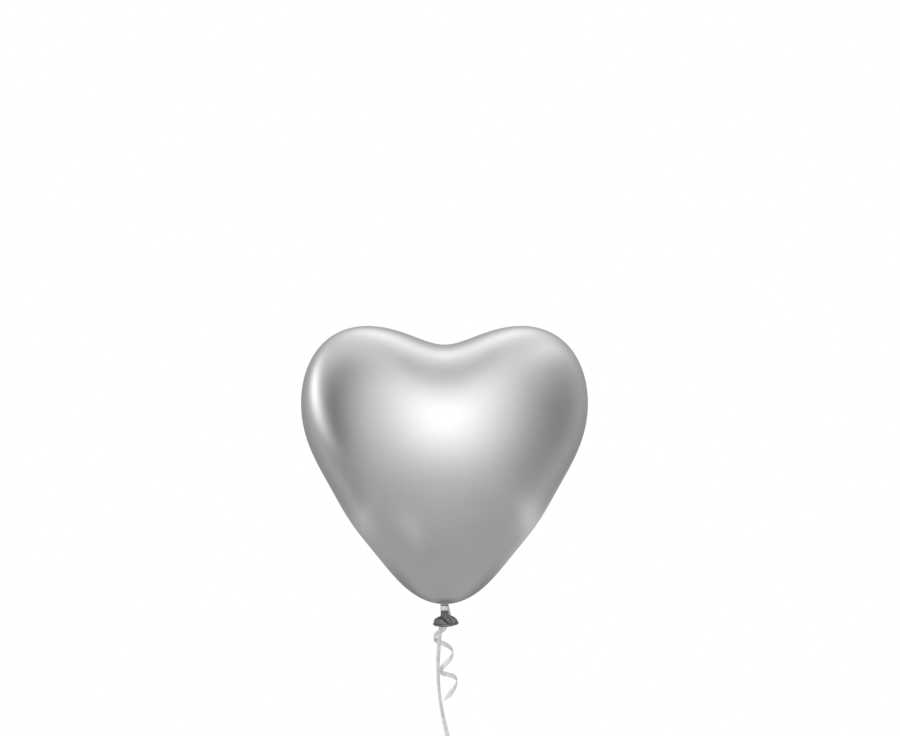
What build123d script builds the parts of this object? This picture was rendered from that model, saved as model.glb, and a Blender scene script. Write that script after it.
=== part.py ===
"""Heart-shaped metallic latex balloon, tied at the neck with curling ribbon.

Millimetres. The origin is the tie on the neck, +Z is up, and the heart's front faces -Y.
"""

import os
from math import cos, hypot, pi, radians, sin, tan

from build123d import *

# ---- driving dimensions ----

# Heart envelope
depth = 170                # front to back
wall = 0.5                 # film, thickened so that it is a solid
tip_height = 4.3           # underside of the heart above the tie
swell_height = 165         # middle of the swell, above the tip
pole_half_width = 142      # the ellipse that the sections near the poles follow
pole_half_height = 130
section_turns = [10, 24, 40, 57, 73, 90, 107, 123, 140, 156, 170]   # degrees from the front pole
# Half of the outline, from the cleft down the side to the tip: (x, height above the tip)
half_outline = [
    (0, 271), (30, 278), (64, 289), (98, 288), (130, 269), (146, 236), (150, 208),
    (145, 177), (131, 144), (108, 102), (85, 69), (58, 35), (31, 10), (0, 0),
]

# Neck and its binding
neck_radius = 3.4
neck_core_radius = 1.4     # gathered film that runs on down into the skirt
neck_core_end = -6.0
neck_groove = 0.4          # depth of the pinch above the binding
wrap_radius = 4.5
wrap_height = 5.6
wrap_crown = 0.2           # swell of the binding's outside, midway up

# Open mouth under the tie: a flared skirt and its rolled lip
skirt_wall = 0.5
skirt_sections = [(-4.8, 3.5, 3.4, 0.0), (-8.0, 4.6, 4.0, 0.2), (-12.0, 8.6, 5.0, 0.8)]  # z, a, b, x
lip_half_width = 12.2
lip_half_depth = 5.6
lip_bead_radius = 1.3
lip_centre = (1.4, 0, -17.0)
lip_tilt = 3               # degrees, the +X end is the higher one

# Ribbon
ribbon_width = 4.8
gap = 0.3                  # clearance between pieces that move on each other
knot_length = 6.0
knot_radius = 1.9
knot_centre = (0, wrap_radius + gap + knot_radius, 0)

# Long ribbon: hangs behind the mouth, then turns into the coil of its spare length
tether_route = [
    (-1.2, 6.9, -4.6), (-2.0, 8.6, -11.0), (-3.4, 10.3, -18.5), (-5.6, 10.5, -34.0),
    (-7.2, 10.2, -60.0), (-6.4, 10.5, -86.0), (-3.2, 10.2, -110.0), (2.2, 10.5, -134.0),
    (6.0, 10.3, -147.0), (5.3, 10.5, -153.8), (2.2, 10.4, -160.0), (-3.1, 10.5, -164.4),
    (-9.4, 10.4, -166.3),
]
coil_turn_pitch = 2.0      # from one turn to the next
coil_turns = 6
coil_outer_line = 31.5     # radius of the outermost turn's middle line
coil_join_angle = 107      # degrees, where the long ribbon runs into that turn
tie_angle = 128
tie_length = 4.0
tie_thickness = 0.8

# Short curled tail: a lead from the knot, then a loose curl
tail_lead_route = [
    (2.2, 11.6, -0.5), (2.5, 13.3, -5.6), (3.0, 15.7, -10.4), (3.2, 17.4, -15.8), (3.2, 17.4, -21.5),
]
tail_curl_route = [(-1.2, 23.0, -21.5), (-1.2, 23.0, -43.0), (1.2, 23.3, -70.0), (4.6, 23.0, -99.0)]
curl_radius = 9.5          # outside of the curl


# ---- helpers ----

def heart_section(turn, inset):
    """Points of the closed section at a turn from the front pole, an ellipse there and a heart midway."""
    grow = sin(radians(turn))
    heart_share = grow ** 2
    left_half = [(-x, z) for x, z in reversed(half_outline[1:-1])]
    points = []
    for x, height in half_outline + left_half:
        rise = height - swell_height
        reach = hypot(x, rise)
        ellipse = 1 / hypot(x / reach / pole_half_width, rise / reach / pole_half_height)
        radius = grow * ((1 - heart_share) * ellipse + heart_share * reach - inset)
        points.append((x / reach * radius, tip_height + swell_height + rise / reach * radius))
    return points


def heart_loft(inset, mode):
    """Loft from the front pole through every section to the back pole."""
    half_depth = depth / 2 - inset
    middle = tip_height + swell_height
    sections = [Vertex(0, -half_depth, middle)]
    for turn in section_turns:
        with BuildSketch(Plane.XZ.offset(half_depth * cos(radians(turn)))) as section:
            with BuildLine():
                Spline(*heart_section(turn, inset), periodic=True)
            make_face()
        sections.append(section.sketch.face())
    sections.append(Vertex(0, half_depth, middle))
    loft(sections=sections, mode=mode)


def bend_radii(route):
    """The largest even arcs that the route's runs allow, one for each corner."""
    points = [Vector(*point) for point in route]
    radii = []
    for before, corner, after in zip(points, points[1:], points[2:]):
        run_in, run_out = corner - before, after - corner
        turn = radians(run_in.get_angle(run_out))
        radii.append(0.45 * min(run_in.length, run_out.length) / tan(turn / 2))
    return radii


def tube(route, radius):
    """Sweep a round section along the route's straight runs and tangent arcs."""
    with BuildLine() as path:
        FilletPolyline(*route, radius=bend_radii(route))
    start = path.line @ 0
    with BuildSketch(Plane(origin=start, z_dir=path.line % 0)) as section:
        Circle(radius)
    sweep(sections=section.sketch, path=path.line)
    return sum(edge.length for edge in path.edges())


def rounded_start(route, radius):
    """A half ball on the first end of a tube, about the point that the ribbon swings on."""
    start = Vector(*route[0])
    back = start - Vector(*route[1])
    with BuildSketch(Plane(origin=start, x_dir=back, z_dir=back.cross(Vector(1, 0, 0)))) as quarter:
        Circle(radius)
        Rectangle(2 * radius, 2 * radius, align=(Align.MAX, Align.CENTER), mode=Mode.SUBTRACT)
        Rectangle(2 * radius, 2 * radius, align=(Align.CENTER, Align.MAX), mode=Mode.SUBTRACT)
    revolve(quarter.sketch, axis=Axis(start, back))


def report_tube(label, part, route, length, radius):
    """Prints a tube's length and bends, and how near its volume is to its section times its length."""
    section = pi * radius ** 2
    radii = ", ".join(f"{r:.1f}" for r in bend_radii(route))
    print(f"{label}: length {length:.1f}, radii {radii}, volume / (section x length)",
          f"{part.volume / (section * length):.3f}")


# ---- balloon envelope ----

with BuildPart() as balloon_envelope:
    heart_loft(0, Mode.ADD)
    heart_loft(wall, Mode.SUBTRACT)

# ---- gathered neck, whose top runs into the film at the heart's tip ----

neck_top = tip_height + 0.6 * wall
with BuildPart() as balloon_neck:
    with BuildSketch(Plane.XZ) as neck_profile:
        with BuildLine():
            Polyline(
                (0, neck_core_end),
                (neck_core_radius, neck_core_end),
                (neck_core_radius, -wrap_height / 2),
                (neck_radius, -wrap_height / 2),
                (neck_radius, wrap_height / 2),
                (neck_radius - neck_groove, wrap_height / 2 + neck_groove),
                (neck_radius, neck_top - neck_groove),
                (neck_radius - neck_groove, neck_top),
                (0, neck_top),
                close=True,
            )
        make_face()
    revolve(axis=Axis.Z)

# ---- binding on the neck ----

with BuildPart() as neck_wrap:
    with BuildSketch(Plane.XZ) as wrap_profile:
        with BuildLine():
            Polyline((wrap_radius - wrap_crown, wrap_height / 2), (neck_radius, wrap_height / 2),
                     (neck_radius, -wrap_height / 2), (wrap_radius - wrap_crown, -wrap_height / 2))
            ThreePointArc((wrap_radius - wrap_crown, -wrap_height / 2), (wrap_radius, 0),
                          (wrap_radius - wrap_crown, wrap_height / 2))
        make_face()
    revolve(axis=Axis.Z)

with BuildPart(Plane(origin=knot_centre, z_dir=(1, 0, 0))) as ribbon_knot:
    Cylinder(knot_radius, knot_length)
    fillet(ribbon_knot.edges().filter_by(GeomType.CIRCLE), knot_radius / 2)

# ---- mouth: skirt and rolled lip ----

lip_plane = Plane(origin=lip_centre, x_dir=(cos(radians(lip_tilt)), 0, sin(radians(lip_tilt))),
                  z_dir=(-sin(radians(lip_tilt)), 0, cos(radians(lip_tilt))))

with BuildPart() as mouth_skirt:
    for z, half_width, half_depth, x in skirt_sections:
        with BuildSketch(Plane(origin=(x, 0, z))):
            Ellipse(half_width, half_depth)
            Ellipse(half_width - skirt_wall, half_depth - skirt_wall, mode=Mode.SUBTRACT)
    with BuildSketch(lip_plane):
        Ellipse(lip_half_width, lip_half_depth)
        Ellipse(lip_half_width - skirt_wall, lip_half_depth - skirt_wall, mode=Mode.SUBTRACT)
    loft()

with BuildPart() as rolled_lip:
    with BuildLine(lip_plane) as lip_path:
        EllipticalCenterArc((0, 0), lip_half_width, lip_half_depth, arc_size=360)
    with BuildSketch(Plane(origin=lip_path.line @ 0, z_dir=lip_path.line % 0)):
        Circle(lip_bead_radius)
    sweep(path=lip_path.line)

# ---- long ribbon, its coil and the coil's tie ----

with BuildPart() as tether_ribbon:
    tether_length = tube(tether_route, ribbon_width / 2)
    rounded_start(tether_route, ribbon_width / 2)

join_x, coil_y, join_z = tether_route[-1]
coil_x = join_x - coil_outer_line * cos(radians(coil_join_angle))
coil_z = join_z - coil_outer_line * sin(radians(coil_join_angle))
coil_outside = coil_outer_line + coil_turn_pitch / 2
coil_inside = coil_outside - coil_turns * coil_turn_pitch
coil_middle = (coil_outside + coil_inside) / 2

with BuildPart(Plane(origin=(coil_x, coil_y, coil_z), z_dir=(0, 1, 0))) as tether_coil:
    Cylinder(coil_outside, ribbon_width)
    Cylinder(coil_inside, ribbon_width, mode=Mode.SUBTRACT)

tie_out = Vector(cos(radians(tie_angle)), 0, sin(radians(tie_angle)))
tie_plane = Plane(origin=Vector(coil_x, coil_y, coil_z) + tie_out * coil_middle,
                  x_dir=tie_out, z_dir=(0, 1, 0))
with BuildPart() as coil_tie:
    with BuildSketch(tie_plane):
        RectangleRounded(coil_outside - coil_inside + 2 * tie_thickness, tie_length, tie_thickness)
    extrude(amount=ribbon_width / 2 + tie_thickness, both=True)
    add(tether_coil.part, mode=Mode.SUBTRACT)

# ---- curled tail ----

with BuildPart() as tail_lead:
    tail_lead_length = tube(tail_lead_route, ribbon_width / 2)
    rounded_start(tail_lead_route, ribbon_width / 2)

with BuildPart() as tail_curl:
    tail_curl_length = tube(tail_curl_route, curl_radius)

# ---- write ----

pieces = {
    "balloon_envelope": balloon_envelope,
    "balloon_neck": balloon_neck,
    "neck_wrap": neck_wrap,
    "ribbon_knot": ribbon_knot,
    "mouth_skirt": mouth_skirt,
    "rolled_lip": rolled_lip,
    "tether_ribbon": tether_ribbon,
    "tether_coil": tether_coil,
    "coil_tie": coil_tie,
    "tail_lead": tail_lead,
    "tail_curl": tail_curl,
}

os.makedirs("parts", exist_ok=True)
for name, piece in pieces.items():
    piece.part.label = name
    export_step(piece.part, f"parts/{name}.step")

report_tube("tether_ribbon", tether_ribbon.part, tether_route, tether_length, ribbon_width / 2)
report_tube("tail_lead", tail_lead.part, tail_lead_route, tail_lead_length, ribbon_width / 2)
report_tube("tail_curl", tail_curl.part, tail_curl_route, tail_curl_length, curl_radius)
print(f"coil centre ({coil_x:.2f}, {coil_y:.2f}, {coil_z:.2f}), radii {coil_inside} to {coil_outside}")
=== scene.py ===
"""Heart balloon of metallic latex on a curling ribbon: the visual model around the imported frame.

Metres throughout, in the frame's own axes. Routes are written in millimetres and scaled by MM.
"""

from math import atan2, cos, exp, hypot, pi, radians, sin, tan

import bpy
import numpy as np
from mathutils import Matrix, Vector
from mathutils.bvhtree import BVHTree


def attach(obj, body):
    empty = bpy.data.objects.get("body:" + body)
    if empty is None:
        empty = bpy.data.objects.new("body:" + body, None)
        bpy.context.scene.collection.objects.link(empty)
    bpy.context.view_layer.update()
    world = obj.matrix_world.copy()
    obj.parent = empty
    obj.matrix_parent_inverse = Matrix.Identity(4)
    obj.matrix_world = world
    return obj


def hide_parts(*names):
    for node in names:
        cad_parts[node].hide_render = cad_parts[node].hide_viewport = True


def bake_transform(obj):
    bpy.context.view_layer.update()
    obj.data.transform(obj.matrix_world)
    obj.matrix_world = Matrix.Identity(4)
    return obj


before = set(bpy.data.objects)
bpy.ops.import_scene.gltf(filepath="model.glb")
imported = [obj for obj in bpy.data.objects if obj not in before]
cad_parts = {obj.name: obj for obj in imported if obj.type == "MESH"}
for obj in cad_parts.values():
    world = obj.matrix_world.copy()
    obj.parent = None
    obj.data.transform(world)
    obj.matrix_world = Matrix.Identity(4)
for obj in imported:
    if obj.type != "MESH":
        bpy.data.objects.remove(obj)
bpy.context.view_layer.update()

MM = 0.001

# ---- driving dimensions, millimetres unless a comment says otherwise ----

# Heart
DEPTH = 170
TIP_HEIGHT = 4.3
SWELL_HEIGHT = 165          # middle of the swell, above the tip
POLE_HALF_WIDTH = 142
POLE_HALF_HEIGHT = 130
HALF_OUTLINE = [            # from the cleft down one side to the tip: (x, height above the tip)
    (0, 271), (30, 278), (64, 289), (98, 288), (130, 269), (146, 236), (150, 208),
    (145, 177), (131, 144), (108, 102), (85, 69), (58, 35), (31, 10), (0, 0),
]
OUTLINE_WAVES = 8           # cosine terms that the outline is smoothed with
HEART_GRID = 84             # quads along one edge of the cube that the heart is blown up from
QUAD_CORNERS = ((0, 0), (1, 0), (1, 1), (0, 1))

# Neck and binding
NECK_PROFILE = [            # (height, radius), from inside the skirt up into the heart
    (-2.8, 3.0), (-1, 3.1), (1.2, 3.1), (2.5, 3.0), (3.1, 3.25), (3.9, 3.5), (4.7, 3.3),
    (5.6, 3.9), (6.8, 5.4),
]
NECK_PLEATS = 13
WRAP_INNER = 3.75
WRAP_TURNS = 3
WRAP_STEP = 0.24            # radius gained by each turn

# Open mouth
SKIRT_TOP = -1.6
SKIRT_NARROW = (3.4, 3.2)   # the skirt's half width and half depth inside the binding
LIP_HALF_WIDTH = 12.2
LIP_HALF_DEPTH = 5.0
LIP_BEAD = 1.25
LIP_CENTRE = (1.4, 0, -17.0)
LIP_SAG = 1.3               # middle of the lip below its two ends
LIP_TILT = radians(3)

# Ribbon
RIBBON_WIDTH = 4.8
RIBBON_THICK = 0.22
RIBBON_CUP = 0.35
BLUNT_POINT = 0.3           # share of the ribbon's width left at a pointed end
KNOT_CENTRE = (0, 6.7, 0)

TETHER_ROUTE = [
    (-0.9, 6.8, -0.6), (-1.2, 7.0, -5.2), (-2.0, 8.6, -11.0), (-3.4, 10.3, -18.5), (-5.6, 10.5, -34.0),
    (-7.2, 10.2, -60.0), (-6.4, 10.5, -86.0), (-3.2, 10.2, -110.0), (2.2, 10.5, -134.0),
    (6.0, 10.3, -147.0), (5.3, 10.5, -153.8), (2.2, 10.4, -160.0), (-3.1, 10.5, -164.4),
    (-9.4, 10.4, -166.3),
]
COIL_RADIUS = 31.5
COIL_PITCH = 2.0
COIL_TURNS = 5.75
COIL_JOIN = radians(107)
COIL_STEPS = 18             # route points in each turn
TIE_ANGLE = radians(128)

TAIL_LEAD = [
    (1.2, 7.4, 0.5), (2.3, 10.4, -0.6), (3.3, 13.0, -5.6), (4.4, 15.2, -10.6), (4.9, 16.2, -15.6),
]
CURL_RADIUS = 8.6
CURL_AXIS_Y = 23.0
CURL_START = radians(66)
CURL_END = radians(846)
CURL_TOP = -18.6            # height of the curl's line, before its first turn
CURL_DROP = 33.8            # fall in one turn
CURL_LEAN = (0.4, 4.6)      # how far a turn is raised on the +X side, at the curl's top and its end
CURL_DRIFT = (-3.4, 5.2)    # x of the curl's axis at its top and its end
CURL_STEPS = 14


# ---- camera ----

camera_data = bpy.data.cameras.new("camera")
camera_data.lens = 50
camera_data.sensor_width = 36
camera = bpy.data.objects.new("camera", camera_data)
camera.location = (0.00575, -1.306, 0.2505)
camera.rotation_euler = (pi / 2, 0, 0)
bpy.context.scene.collection.objects.link(camera)
bpy.context.scene.camera = camera


# ---- mesh helpers ----

def add_mesh(name, points, faces, uvs=None):
    """A mesh object from points in metres. uvs gives one (u, v) for each point."""
    mesh = bpy.data.meshes.new(name)
    mesh.from_pydata([tuple(p) for p in points], [], faces)
    mesh.validate()
    if uvs is not None:
        layer = mesh.uv_layers.new(name="along")
        for loop in mesh.loops:
            layer.data[loop.index].uv = uvs[loop.vertex_index]
    for polygon in mesh.polygons:
        polygon.use_smooth = True
    mesh.update()
    piece = bpy.data.objects.new(name, mesh)
    bpy.context.scene.collection.objects.link(piece)
    return piece


def place(piece, body, material, nodes):
    """The piece gets its material, moves with a body and stands for its CAD nodes."""
    piece.data.materials.append(material)
    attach(piece, body)
    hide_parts(*nodes)


def place_between(piece, material, nodes):
    """As place, for a piece that runs from one body to the next; it is baked where it lies and moves
    with no body.
    """
    piece.data.materials.append(material)
    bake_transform(piece)
    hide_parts(*nodes)


def smooth_line(name, route):
    """Points along the NURBS line that a route in millimetres controls."""
    curve = bpy.data.curves.new(name, "CURVE")
    curve.dimensions = "3D"
    curve.resolution_u = 6
    spline = curve.splines.new("NURBS")
    spline.points.add(len(route) - 1)
    for point, (x, y, z) in zip(spline.points, route):
        point.co = (x * MM, y * MM, z * MM, 1)
    spline.order_u = 3
    spline.use_endpoint_u = True
    holder = bpy.data.objects.new(name, curve)
    bpy.context.scene.collection.objects.link(holder)
    bpy.context.view_layer.update()
    mesh = bpy.data.meshes.new_from_object(holder)
    line = [v.co.copy() for v in mesh.vertices]
    bpy.data.meshes.remove(mesh)
    bpy.data.objects.remove(holder)
    bpy.data.curves.remove(curve)
    return line


def tangents(line):
    """Unit directions along a line of points."""
    ahead = line[1:] + line[-1:]
    behind = line[:1] + line[:-1]
    return [(b - a).normalized() for a, b in zip(behind, ahead)]


def strip(name, line, across, width, thick=RIBBON_THICK, cup=RIBBON_CUP, taper=0.0):
    """A flat ribbon along a line. across gives the direction of its width at each point, and taper
    is the length of the point that its end is cut to, in metres."""
    columns = 7
    points, uvs, faces = [], [], []
    directions = tangents(line)
    total = sum((b - a).length for a, b in zip(line, line[1:]))
    run = 0.0
    for i, (centre, along, side) in enumerate(zip(line, directions, across)):
        if i:
            run += (centre - line[i - 1]).length
        side = (side - along * side.dot(along)).normalized()
        normal = along.cross(side)
        left = total - run
        high = 1.0 if left > taper or not taper else max(left / taper, BLUNT_POINT)
        low = -high
        for face in (1, -1):
            for column in range(columns):
                share = column / (columns - 1)
                share = share if face > 0 else 1 - share
                s = low + (high - low) * share
                bow = cup * (1 - s * s) * MM
                edge = 0.55 + 0.45 * (1 - abs(s) ** 6)
                offset = bow + face * thick * edge * MM / 2
                points.append(centre + side * (s * width / 2 * MM) + normal * offset)
                uvs.append((run / (width * MM), (s + 1) / 2))
    ring = 2 * columns
    for i in range(len(line) - 1):
        for j in range(ring):
            a = i * ring + j
            b = i * ring + (j + 1) % ring
            faces.append((a, b, b + ring, a + ring))
    faces.append(tuple(reversed(range(ring))))
    last = (len(line) - 1) * ring
    faces.append(tuple(last + j for j in range(ring)))
    return add_mesh(name, points, faces, uvs)


def grid_surface(name, rows, closed_ends=False):
    """A surface from rows of points, each row a closed loop."""
    count = len(rows[0])
    points = [p for row in rows for p in row]
    uvs = [(j / count, i / (len(rows) - 1)) for i in range(len(rows)) for j in range(count)]
    faces = []
    for i in range(len(rows) - 1):
        for j in range(count):
            k = (j + 1) % count
            faces.append((i * count + j, i * count + k, (i + 1) * count + k, (i + 1) * count + j))
    if closed_ends:
        faces.append(tuple(reversed(range(count))))
        faces.append(tuple((len(rows) - 1) * count + j for j in range(count)))
    return add_mesh(name, points, faces, uvs)


def ease(value, low, high):
    """0 below low, 1 above high, smooth between."""
    share = min(max((value - low) / (high - low), 0), 1)
    return share * share * (3 - 2 * share)


# ---- node helpers ----

def new_material(name):
    """A node material, its tree and its shader."""
    material = bpy.data.materials.new(name)
    material.use_nodes = True
    tree = material.node_tree
    return material, tree, tree.nodes["Principled BSDF"]


def node(tree, kind, **values):
    """A node with its settings, and its inputs by name or number in a dict called inputs."""
    made = tree.nodes.new(kind)
    inputs = values.pop("inputs", {})
    for key, value in values.items():
        setattr(made, key, value)
    for key, value in inputs.items():
        made.inputs[key].default_value = value
    return made


def maths(tree, operation, first, second=None, clamp=False):
    """A Math node between two sockets or numbers."""
    made = node(tree, "ShaderNodeMath", operation=operation, use_clamp=clamp)
    for slot, value in zip(made.inputs, (first, second)):
        if isinstance(value, bpy.types.NodeSocket):
            tree.links.new(value, slot)
        elif value is not None:
            slot.default_value = value
    return made.outputs[0]


def noise(tree, vector, scale, detail=2.0, roughness=0.5):
    """The height of a noise texture over a vector."""
    made = node(tree, "ShaderNodeTexNoise",
                inputs={"Scale": scale, "Detail": detail, "Roughness": roughness})
    tree.links.new(vector, made.inputs["Vector"])
    return made.outputs["Fac"]


def spread(tree, value, low, high, out_low, out_high):
    """Maps a value smoothly from one range to another."""
    made = node(tree, "ShaderNodeMapRange", interpolation_type="SMOOTHSTEP",
                inputs={1: low, 2: high, 3: out_low, 4: out_high})
    tree.links.new(value, made.inputs[0])
    return made.outputs[0]


def grey(tree, value):
    """A value as a neutral colour, very slightly cool."""
    made = node(tree, "ShaderNodeCombineColor")
    tree.links.new(value, made.inputs[0])
    tree.links.new(value, made.inputs[1])
    tree.links.new(maths(tree, "MULTIPLY", value, 1.008), made.inputs[2])
    return made.outputs[0]


def bump(tree, shader, height, strength, distance):
    """Bumps a shader's normal by a height."""
    made = node(tree, "ShaderNodeBump", inputs={"Strength": strength, "Distance": distance})
    tree.links.new(height, made.inputs["Height"])
    tree.links.new(made.outputs["Normal"], shader.inputs["Normal"])


# ---- materials ----

def film_material():
    """Stretched metallic latex: a satin mirror with a faint flake, darker and duller at the neck, and
    lighter towards the top, where a highlight is painted.
    """
    material, tree, shader = new_material("metallic_latex")
    shader.inputs["Metallic"].default_value = 1.0
    place_in = node(tree, "ShaderNodeTexCoord").outputs["Object"]
    height = node(tree, "ShaderNodeSeparateXYZ")
    tree.links.new(place_in, height.inputs[0])
    cloud = noise(tree, place_in, 18, 3)
    flake = noise(tree, place_in, 1400, 2)
    dense = spread(tree, height.outputs["Z"], 0.004, 0.026, 0.93, 1.0)
    # lighter towards the top of the heart: a painted highlight that brightens the crescent under the
    # cleft
    painted_top_highlight = spread(tree, height.outputs["Z"], 0.20, 0.29, 1.0, 1.05)
    tone = maths(tree, "MULTIPLY", dense, painted_top_highlight)
    tone = maths(tree, "MULTIPLY", tone, spread(tree, cloud, 0.3, 0.7, 0.525, 0.545))
    tone = maths(tree, "ADD", tone, spread(tree, flake, 0.35, 0.65, -0.006, 0.006))
    tree.links.new(grey(tree, tone), shader.inputs["Base Color"])
    satin = spread(tree, height.outputs["Z"], 0.004, 0.022, 0.26, 0.0)
    satin = maths(tree, "ADD", satin, spread(tree, cloud, 0.3, 0.7, 0.225, 0.265))
    tree.links.new(satin, shader.inputs["Roughness"])
    peel = noise(tree, place_in, 420, 3)
    bump(tree, shader, maths(tree, "ADD", peel, flake), 0.05, 0.00006)
    return material


def gathered_material():
    """Unstretched latex, darker and softer, with fine drawn lines down the gathers."""
    material, tree, shader = new_material("gathered_latex")
    shader.inputs["Metallic"].default_value = 0.75
    place_in = node(tree, "ShaderNodeTexCoord").outputs["Object"]
    squeeze = node(tree, "ShaderNodeMapping", inputs={"Scale": (1, 1, 0.16)})
    tree.links.new(place_in, squeeze.inputs["Vector"])
    drawn = noise(tree, squeeze.outputs[0], 1500, 4, 0.6)
    cloud = noise(tree, place_in, 240, 3)
    clouded = spread(tree, cloud, 0.3, 0.7, 0.125, 0.18)
    lined = spread(tree, drawn, 0.35, 0.7, -0.015, 0.035)
    tone = maths(tree, "ADD", clouded, lined)
    tree.links.new(grey(tree, tone), shader.inputs["Base Color"])
    tree.links.new(spread(tree, drawn, 0.3, 0.7, 0.34, 0.46), shader.inputs["Roughness"])
    bump(tree, shader, drawn, 0.35, 0.00012)
    return material


def ribbon_material():
    """Curling ribbon: glossy silver-white film drawn lengthwise, so its lines run along it."""
    material, tree, shader = new_material("curling_ribbon")
    shader.inputs["Metallic"].default_value = 0.12
    shader.inputs["Coat Weight"].default_value = 0.35
    shader.inputs["Coat Roughness"].default_value = 0.12
    along = node(tree, "ShaderNodeUVMap").outputs[0]
    stretch = node(tree, "ShaderNodeMapping", inputs={"Scale": (0.12, 9, 1)})
    tree.links.new(along, stretch.inputs["Vector"])
    lines = noise(tree, stretch.outputs[0], 1.6, 3, 0.55)
    # lighter and darker bands along the ribbon: painted sheen in its colour
    sheen_bands = node(tree, "ShaderNodeMapping", inputs={"Scale": (0.9, 0.5, 1)})
    tree.links.new(along, sheen_bands.inputs["Vector"])
    bands = noise(tree, sheen_bands.outputs[0], 1.0, 1)
    lined = spread(tree, lines, 0.3, 0.7, 0.70, 0.76)
    painted_sheen = spread(tree, bands, 0.3, 0.7, -0.08, 0.06)
    tone = maths(tree, "ADD", lined, painted_sheen)
    tree.links.new(grey(tree, tone), shader.inputs["Base Color"])
    tree.links.new(spread(tree, lines, 0.3, 0.7, 0.22, 0.34), shader.inputs["Roughness"])
    bump(tree, shader, lines, 0.12, 0.00003)
    return material


FILM = film_material()
GATHERED = gathered_material()
RIBBON = ribbon_material()


# ---- cords ----

def coil_centre():
    """The coil lies so that the route's last point is on its outermost turn."""
    x, y, z = TETHER_ROUTE[-1]
    return x - COIL_RADIUS * cos(COIL_JOIN), y, z - COIL_RADIUS * sin(COIL_JOIN)


def coil_points():
    """The spare length's turns, wound inwards."""
    cx, cy, cz = coil_centre()
    points = []
    for i in range(1, int(COIL_TURNS * COIL_STEPS) + 1):
        turn = i / COIL_STEPS
        angle = COIL_JOIN + 2 * pi * turn
        wander = 0.22 * sin(2.3 * angle) * min(turn, 1)
        radius = COIL_RADIUS - COIL_PITCH * turn * ease(turn, 0, 0.5) + wander
        points.append((cx + radius * cos(angle), cy, cz + radius * sin(angle)))
    return points


def long_ribbon():
    """Hangs from the knot behind the mouth, drifts, and turns into the coil of its spare length."""
    line = smooth_line("tether_line", TETHER_ROUTE + coil_points())
    across = []
    for point in line:
        lying = ease(-point.z / MM, 138, 160)
        wander = radians(12) * sin(point.z / MM / 19)
        turned = radians(8) + radians(30) * ease(-point.z / MM, 5, 30)
        turned += wander * ease(-point.z / MM, 20, 60)
        angle = turned + (pi / 2 - turned) * lying
        across.append(Vector((cos(angle), sin(angle), 0)))
    ribbon = strip("long_ribbon", line, across, RIBBON_WIDTH)
    place_between(ribbon,
                  RIBBON, ["tether_ribbon", "tether_coil"])
    return ribbon, line


def coil_band():
    """A short ribbon bound round the coil's turns."""
    cx, cy, cz = coil_centre()
    middle = COIL_RADIUS - COIL_PITCH * 2.5
    outward = Vector((cos(TIE_ANGLE), 0, sin(TIE_ANGLE)))
    along = Vector((-sin(TIE_ANGLE), 0, cos(TIE_ANGLE)))
    centre = Vector((cx, cy, cz)) + outward * middle
    line = []
    for i in range(73):
        angle = 2 * pi * i / 36
        grow = 0.12 * i / 72
        rounding = (abs(cos(angle)) ** 4 + abs(sin(angle)) ** 4) ** -0.25
        reach = outward * (cos(angle) * rounding * (6.6 + grow))
        depth = Vector((0, 1, 0)) * (sin(angle) * rounding * (2.9 + grow))
        line.append((centre + reach + depth + along * 0.5 * sin(angle / 2)) * MM)
    band = strip("coil_band", line, [along] * len(line), 3.6, 0.2, 0.1)
    place(band, "tether", RIBBON, ["coil_tie"])
    return band


def curl_points():
    """The curled end: a helix that leans and drifts as it goes down."""
    turns = (CURL_END - CURL_START) / (2 * pi)
    count = int(turns * CURL_STEPS)
    points = []
    for i in range(count + 1):
        share = i / count
        angle = CURL_START + (CURL_END - CURL_START) * share
        radius = CURL_RADIUS * (1 - 0.06 * sin(3 * share * pi))
        middle = CURL_DRIFT[0] + (CURL_DRIFT[1] - CURL_DRIFT[0]) * ease(share, 0.1, 0.75)
        drop = CURL_DROP * angle / (2 * pi)
        lean = CURL_LEAN[0] + (CURL_LEAN[1] - CURL_LEAN[0]) * share
        points.append((
            middle + radius * cos(angle),
            CURL_AXIS_Y - radius * sin(angle),
            CURL_TOP - drop + lean * cos(angle),
        ))
    return points


def curl_across(point, along):
    """Direction of the ribbon's width in the curl: it lies on the curl's own barrel."""
    drift = ease(-point.z / MM, 25, 80)
    axis_x = CURL_DRIFT[0] + (CURL_DRIFT[1] - CURL_DRIFT[0]) * drift
    outward = Vector((point.x / MM - axis_x, point.y / MM - CURL_AXIS_Y, 0))
    return along.cross(outward).normalized()


def curled_tail():
    """Leaves the knot, passes behind the mouth and hangs in loose turns, cut to a point."""
    line = smooth_line("tail_line", TAIL_LEAD + curl_points())
    directions = tangents(line)
    carried = [Vector((1, 0.15, 0))]
    for before, along in zip(directions, directions[1:]):
        side = before.rotation_difference(along) @ carried[-1]
        carried.append((side - along * side.dot(along)).normalized())
    first = next(i for i, point in enumerate(line) if point.z / MM < -22)
    sign = 1 if curl_across(line[first], directions[first]).dot(carried[first]) > 0 else -1
    across = []
    for point, along, side in zip(line, directions, carried):
        goal = curl_across(point, along) * sign
        turn = atan2(along.dot(side.cross(goal)), side.dot(goal))
        share = ease(-point.z / MM, 3, 30)
        across.append(Matrix.Rotation(turn * share, 3, along) @ side)
    tail = strip("curled_tail", line, across, RIBBON_WIDTH, taper=0.006)
    place_between(tail,
                  RIBBON, ["tail_lead", "tail_curl"])
    return tail, line


def declare(piece, line, exit_point, **facts):
    """Prints the length of a ribbon's line."""
    length = sum((b - a).length for a, b in zip(line, line[1:]))
    print(piece.name, "is", round(length, 4), "m long")


tether, tether_line = long_ribbon()
band = coil_band()
tail, tail_line = curled_tail()
declare(tether, tether_line, TETHER_ROUTE[0], length=1.088, with_pieces=[band])
declare(tail, tail_line, TAIL_LEAD[0], length=0.167)


# ---- heart ----

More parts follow.
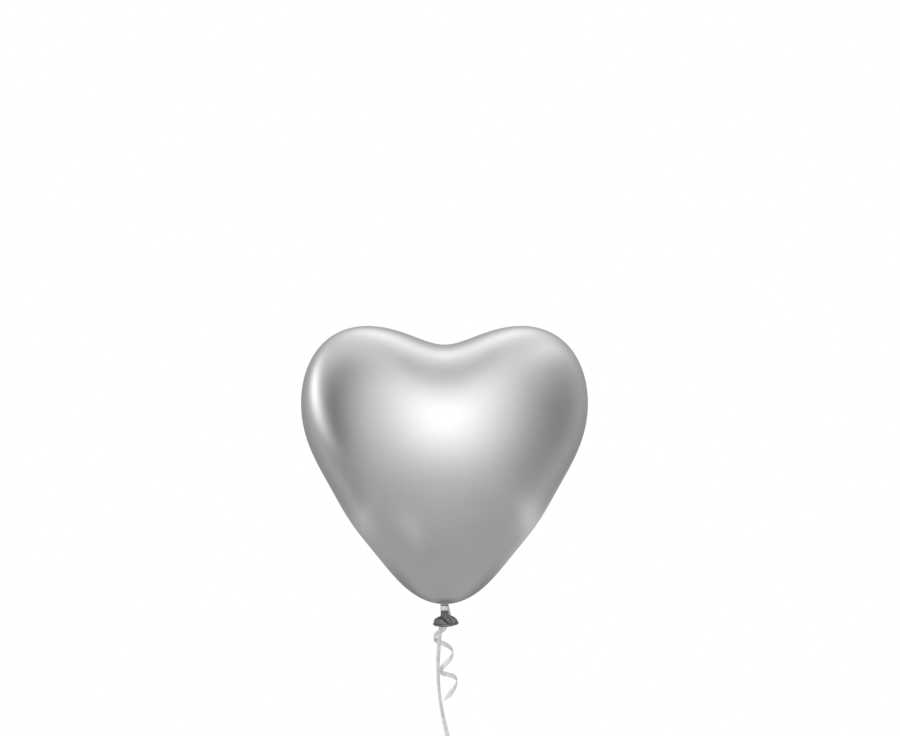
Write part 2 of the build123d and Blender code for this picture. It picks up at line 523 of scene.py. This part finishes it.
def outline_terms():
    """Cosine terms of the outline's reach from the middle of the swell."""
    x, height = np.array(HALF_OUTLINE, float).T
    rise = height - SWELL_HEIGHT
    waves = np.cos(np.outer(np.arctan2(x, rise), np.arange(OUTLINE_WAVES + 1)))
    return np.linalg.lstsq(waves, np.hypot(x, rise), rcond=None)[0]


def cube_sphere(count):
    """Unit directions and faces of a cube blown up into a ball, which has no poles to pinch."""
    steps = np.tan(np.linspace(-pi / 4, pi / 4, count + 1))
    found, directions, faces = {}, [], []

    def corner(axis, sign, i, j):
        point = [0.0, 0.0, 0.0]
        point[axis] = sign
        point[(axis + 1) % 3] = steps[i]
        point[(axis + 2) % 3] = steps[j]
        key = tuple(round(c, 9) for c in point)
        if key not in found:
            found[key] = len(directions)
            directions.append(Vector(point).normalized())
        return found[key]

    for axis in range(3):
        for sign in (-1, 1):
            for i in range(count):
                for j in range(count):
                    quad = [corner(axis, sign, i + a, j + b) for a, b in QUAD_CORNERS]
                    faces.append(quad if sign > 0 else quad[::-1])
    return directions, faces


def heart():
    """The envelope: an ellipse near its front and back poles that grows into the heart midway."""
    terms = outline_terms()
    directions, faces = cube_sphere(HEART_GRID)
    points = []
    for u in directions:
        angle = atan2(u.x, u.z)
        share = hypot(u.x, u.z)
        reach = sum(term * cos(k * angle) for k, term in enumerate(terms))
        ellipse = 1 / hypot(sin(angle) / POLE_HALF_WIDTH, cos(angle) / POLE_HALF_HEIGHT)
        radius = share * ((1 - share ** 2) * ellipse + share ** 2 * reach)
        points.append(Vector((
            radius * sin(angle),
            u.y * DEPTH / 2,
            TIP_HEIGHT + SWELL_HEIGHT + radius * cos(angle),
        )) * MM)
    envelope = add_mesh("heart_envelope", points, faces)
    place(envelope, "balloon", FILM, ["balloon_envelope"])
    return envelope


def neck():
    """Film gathered into pleats, with a small bead between the heart's tip and the binding."""
    heights = np.linspace(NECK_PROFILE[0][0], NECK_PROFILE[-1][0], 40)
    radii = np.interp(heights, *zip(*NECK_PROFILE))
    rows = []
    for height, radius in zip(heights, radii):
        fade = 1 - ease(height, 4.8, 6.8)
        row = []
        for j in range(156):
            angle = 2 * pi * j / 156
            fold = 0.09 * cos(NECK_PLEATS * angle + 0.5 * sin(2 * angle)) + 0.04 * cos(5 * angle + 1.3)
            r = radius * (1 + fold * fade)
            row.append(Vector((r * cos(angle), r * sin(angle), height)) * MM)
        rows.append(row)
    piece = grid_surface("gathered_neck", rows, closed_ends=True)
    place(piece, "balloon", FILM, ["balloon_neck"])


def neck_binding():
    """Turns of ribbon bound round the neck, each a little off the one under it."""
    line = []
    steps = 48 * WRAP_TURNS
    for i in range(steps + 1):
        angle = pi / 2 + 2 * pi * i / 48
        radius = WRAP_INNER + WRAP_STEP * i / 48
        height = 0.3 + 0.35 * sin(angle * 0.5 + 0.6) + 0.12 * sin(3 * angle)
        line.append(Vector((radius * cos(angle), radius * sin(angle), height)) * MM)
    piece = strip("neck_binding", line, [Vector((0, 0, 1))] * len(line), RIBBON_WIDTH, 0.2, -0.1)
    place(piece, "balloon", RIBBON, ["neck_wrap"])


def knot():
    """An overhand knot in folded ribbon, pulled tight behind the neck."""
    line, across = [], []
    for i in range(193):
        t = 2 * pi * i / 192
        x = (sin(t) + 2 * sin(2 * t)) * 0.78
        z = (cos(t) - 2 * cos(2 * t)) * 0.50
        y = 0.3 - sin(3 * t) * 0.66
        line.append((Vector(KNOT_CENTRE) + Vector((x, y, z))) * MM)
        across.append(Vector((0.5 * cos(t), 1.0, 0.6 + 0.5 * sin(2 * t))))
    piece = strip("ribbon_knot_tied", line, across, 2.9, 0.4, 0.32)
    place(piece, "knot", RIBBON, ["ribbon_knot"])


def lip_height(x):
    """Height of the lip's line: it sags in the middle and tilts up towards +X."""
    across = (x - LIP_CENTRE[0]) / LIP_HALF_WIDTH
    return LIP_CENTRE[2] + LIP_SAG * (across ** 2 - 0.5) + (x - LIP_CENTRE[0]) * tan(LIP_TILT)


def shoulder(share, start, end):
    """A flare that opens quickly after start and then rounds over towards end."""
    t = min(max((share - start) / (end - start), 0), 1)
    return (1 - (1 - t) ** 2) * ease(share, start - 0.08, start + 0.16)


def skirt():
    """Flared film under the tie: drawn pleats, a fold falling across the front, and two puffs."""
    steps, count = 54, 192
    rows = []
    for i in range(steps + 1):
        share = i / steps
        left_flare = shoulder(share, 0.42, 0.84)
        right_flare = shoulder(share, 0.34, 0.92)
        deep_flare = ease(share, 0.3, 1.0)
        row = []
        for j in range(count):
            angle = 2 * pi * j / count
            rightward = 0.5 + 0.5 * cos(angle)
            flare = left_flare + (right_flare - left_flare) * rightward
            half_width = SKIRT_NARROW[0] + (LIP_HALF_WIDTH - SKIRT_NARROW[0]) * flare
            half_depth = SKIRT_NARROW[1] + (LIP_HALF_DEPTH - SKIRT_NARROW[1]) * deep_flare
            pleat = 0.07 * cos(11 * angle + 2.2 * share) + 0.045 * cos(17 * angle - 1.0)
            pleat *= 1 - 0.8 * ease(share, 0.45, 1.0)
            x = half_width * cos(angle) * (1 + pleat) + LIP_CENTRE[0] * flare
            y = half_depth * sin(angle) * (1 + pleat)
            z = SKIRT_TOP + (lip_height(x) - SKIRT_TOP) * share
            fold_line = (x + 3.4) * 0.95 + (z + 9.0)
            in_front = max(-sin(angle), 0)
            fold = exp(-fold_line ** 2) * in_front * ease(share, 0.2, 0.5)
            y += 1.5 * fold * (1 - ease(share, 0.86, 1))
            puff = exp(-((x + 5.6) / 2.6) ** 2 - ((z + 12.6) / 2.4) ** 2)
            puff += 0.8 * exp(-((x - 4.6) / 3.4) ** 2 - ((z + 11.4) / 2.8) ** 2)
            y -= 1.5 * puff * in_front
            row.append(Vector((x, y, z)) * MM)
        rows.append(row)
    piece = grid_surface("mouth_skirt_film", rows)
    thickness = piece.modifiers.new("film", "SOLIDIFY")
    thickness.thickness = 0.3 * MM
    thickness.offset = -1
    place_between(piece,
                  GATHERED, ["mouth_skirt"])


def lip():
    """The rolled rim: film wound on itself, so its bead shows the edges of its layers."""
    around, section = 180, 28
    rows = []
    for i in range(around + 1):
        angle = 2 * pi * i / around
        x = LIP_CENTRE[0] + LIP_HALF_WIDTH * cos(angle)
        y = LIP_HALF_DEPTH * sin(angle)
        centre = Vector((x, y, lip_height(x)))
        outward = Vector((cos(angle) / LIP_HALF_WIDTH, sin(angle) / LIP_HALF_DEPTH, 0)).normalized()
        row = []
        for j in range(section):
            turn = 2 * pi * j / section
            layers = 0.06 * cos(5 * turn + 0.6 * sin(3 * angle)) + 0.035 * sin(9 * angle)
            radius = LIP_BEAD * (1 + layers)
            upward = Vector((0, 0, radius * sin(turn)))
            row.append((centre + outward * radius * cos(turn) + upward) * MM)
        rows.append(row)
    piece = grid_surface("rolled_lip_bead", rows)
    merge = piece.modifiers.new("join", "WELD")
    merge.merge_threshold = 0.01 * MM
    place(piece, "mouth", GATHERED, ["rolled_lip"])


envelope = heart()
neck()
neck_binding()
knot()
skirt()
lip()


# ---- studio ----

# Soft lights and dark flags round the object, each written as the mark that it leaves on the heart.
# Millimetres: right of the middle, height, half width and half height of the mark; then strength.
MARKS = {
    "middle_patch": (0, 197, 45, 26, 1.1),
    "middle_haze": (0, 190, 85, 50, 0.15),
    "left_streak": (-136, 225, 2.5, 34, 1.7),
    "left_shade": (-116, 210, 14, 45, -0.6),
    "right_shade": (122, 215, 18, 50, -0.45),
    "upper_right_glow": (108, 268, 14, 8, 0.4),
    "cleft_crescent": (0, 265, 22, 4, 0.8),
    "shade_under_crescent": (0, 243, 40, 8, -0.25),
    "low_right_streak": (90, 92, 7, 14, 0.6),
    "low_left_streak": (-86, 88, 7, 14, 0.35),
    "round_reflection": (-35, 85, 5, 5, 0.8),
}
DOME = 0.8                  # the even light around everything
DOME_LIFT = 0.25            # brighter above, darker below
DOME_BEHIND = -0.38         # dimmer behind the balloon, which its rim mirrors
DIMMEST = 0.02              # the least light from any direction
PROBE = 4                   # millimetres each side of a mark over which the heart's curve is felt
LOBE_EDGE = (0.4, 0.9)      # cosines of the angle from a light where it is gone, and where it is whole

FLOOR_HEIGHT = -0.25        # metres, as the next two
FLOOR_RADIUS = 0.3
FLOOR_FADE = 0.14           # radius where the floor starts to fade out


def mirrored(surface, x, height):
    """The direction that the camera sees in the heart at a place on its front."""
    ray = (Vector((x, 0, height)) * MM - camera.location).normalized()
    return ray.reflect(surface.ray_cast(camera.location, ray)[1])


def mark_axes(surface, x, height, half_width, half_height):
    """A mark's direction, and two vectors that measure the way from it in its half sizes."""
    ahead = mirrored(surface, x, height)
    rightward, leftward = mirrored(surface, x + PROBE, height), mirrored(surface, x - PROBE, height)
    upper, lower = mirrored(surface, x, height + PROBE), mirrored(surface, x, height - PROBE)
    across = (rightward - leftward) * half_width / (2 * PROBE)
    above = (upper - lower) * half_height / (2 * PROBE)
    beside_above, beside_across = above.cross(ahead), ahead.cross(across)
    return ahead, beside_above / across.dot(beside_above), beside_across / above.dot(beside_across)


def studio_world(envelope):
    """A graded dome with soft lobes of light, plain white where the camera looks past the object."""
    mesh = envelope.data
    surface = BVHTree.FromPolygons([v.co for v in mesh.vertices], [p.vertices for p in mesh.polygons])
    world = bpy.data.worlds.new("studio")
    bpy.context.scene.world = world
    world.use_nodes = True
    tree = world.node_tree
    background = tree.nodes["Background"]
    direction = node(tree, "ShaderNodeTexCoord").outputs["Generated"]

    def toward(vector):
        dot = node(tree, "ShaderNodeVectorMath", operation="DOT_PRODUCT")
        tree.links.new(direction, dot.inputs[0])
        dot.inputs[1].default_value = vector
        return dot.outputs["Value"]

    light = maths(tree, "ADD", maths(tree, "MULTIPLY", toward((0, 0, 1)), DOME_LIFT), DOME)
    light = maths(tree, "ADD", light, spread(tree, toward((0, 1, 0)), 0.0, 1.0, 0.0, DOME_BEHIND))
    for *mark, strength in MARKS.values():
        ahead, across, above = mark_axes(surface, *mark)
        ways = [toward(across), toward(above)]
        squares = [maths(tree, "MULTIPLY", way, way) for way in ways]
        lobe = maths(tree, "EXPONENT", maths(tree, "MULTIPLY", maths(tree, "ADD", *squares), -0.5))
        facing = spread(tree, toward(ahead), *LOBE_EDGE, 0.0, strength)
        light = maths(tree, "ADD", light, maths(tree, "MULTIPLY", lobe, facing))
    light = maths(tree, "MAXIMUM", light, DIMMEST)
    seen = node(tree, "ShaderNodeLightPath").outputs["Is Camera Ray"]
    past = maths(tree, "SUBTRACT", 1.0, seen)
    light = maths(tree, "ADD", maths(tree, "MULTIPLY", light, past), seen)
    tree.links.new(grey(tree, light), background.inputs["Color"])


def floor():
    """A pale round floor under the coil, fading out towards its edge."""
    rings, count = 24, 96
    points = [(0, 0, FLOOR_HEIGHT)]
    for i in range(1, rings + 1):
        reach = FLOOR_RADIUS * i / rings
        for j in range(count):
            angle = 2 * pi * j / count
            points.append((reach * cos(angle), reach * sin(angle), FLOOR_HEIGHT))
    faces = [(0, 1 + j, 1 + (j + 1) % count) for j in range(count)]
    for i in range(rings - 1):
        for j in range(count):
            a, b = 1 + i * count + j, 1 + i * count + (j + 1) % count
            faces.append((a, a + count, b + count, b))
    piece = add_mesh("floor", points, faces)
    material, tree, shader = new_material("pale_floor")
    shader.inputs["Base Color"].default_value = (0.6, 0.6, 0.6, 1)
    shader.inputs["Roughness"].default_value = 0.7
    place_in = node(tree, "ShaderNodeTexCoord").outputs["Object"]
    flat = node(tree, "ShaderNodeVectorMath", operation="MULTIPLY", inputs={1: (1, 1, 0)})
    tree.links.new(place_in, flat.inputs[0])
    distance = node(tree, "ShaderNodeVectorMath", operation="LENGTH")
    tree.links.new(flat.outputs[0], distance.inputs[0])
    fade = spread(tree, distance.outputs["Value"], FLOOR_FADE, FLOOR_RADIUS, 1.0, 0.0)
    tree.links.new(fade, shader.inputs["Alpha"])
    piece.data.materials.append(material)


studio_world(envelope)
floor()
bpy.context.scene.view_settings.view_transform = "Standard"
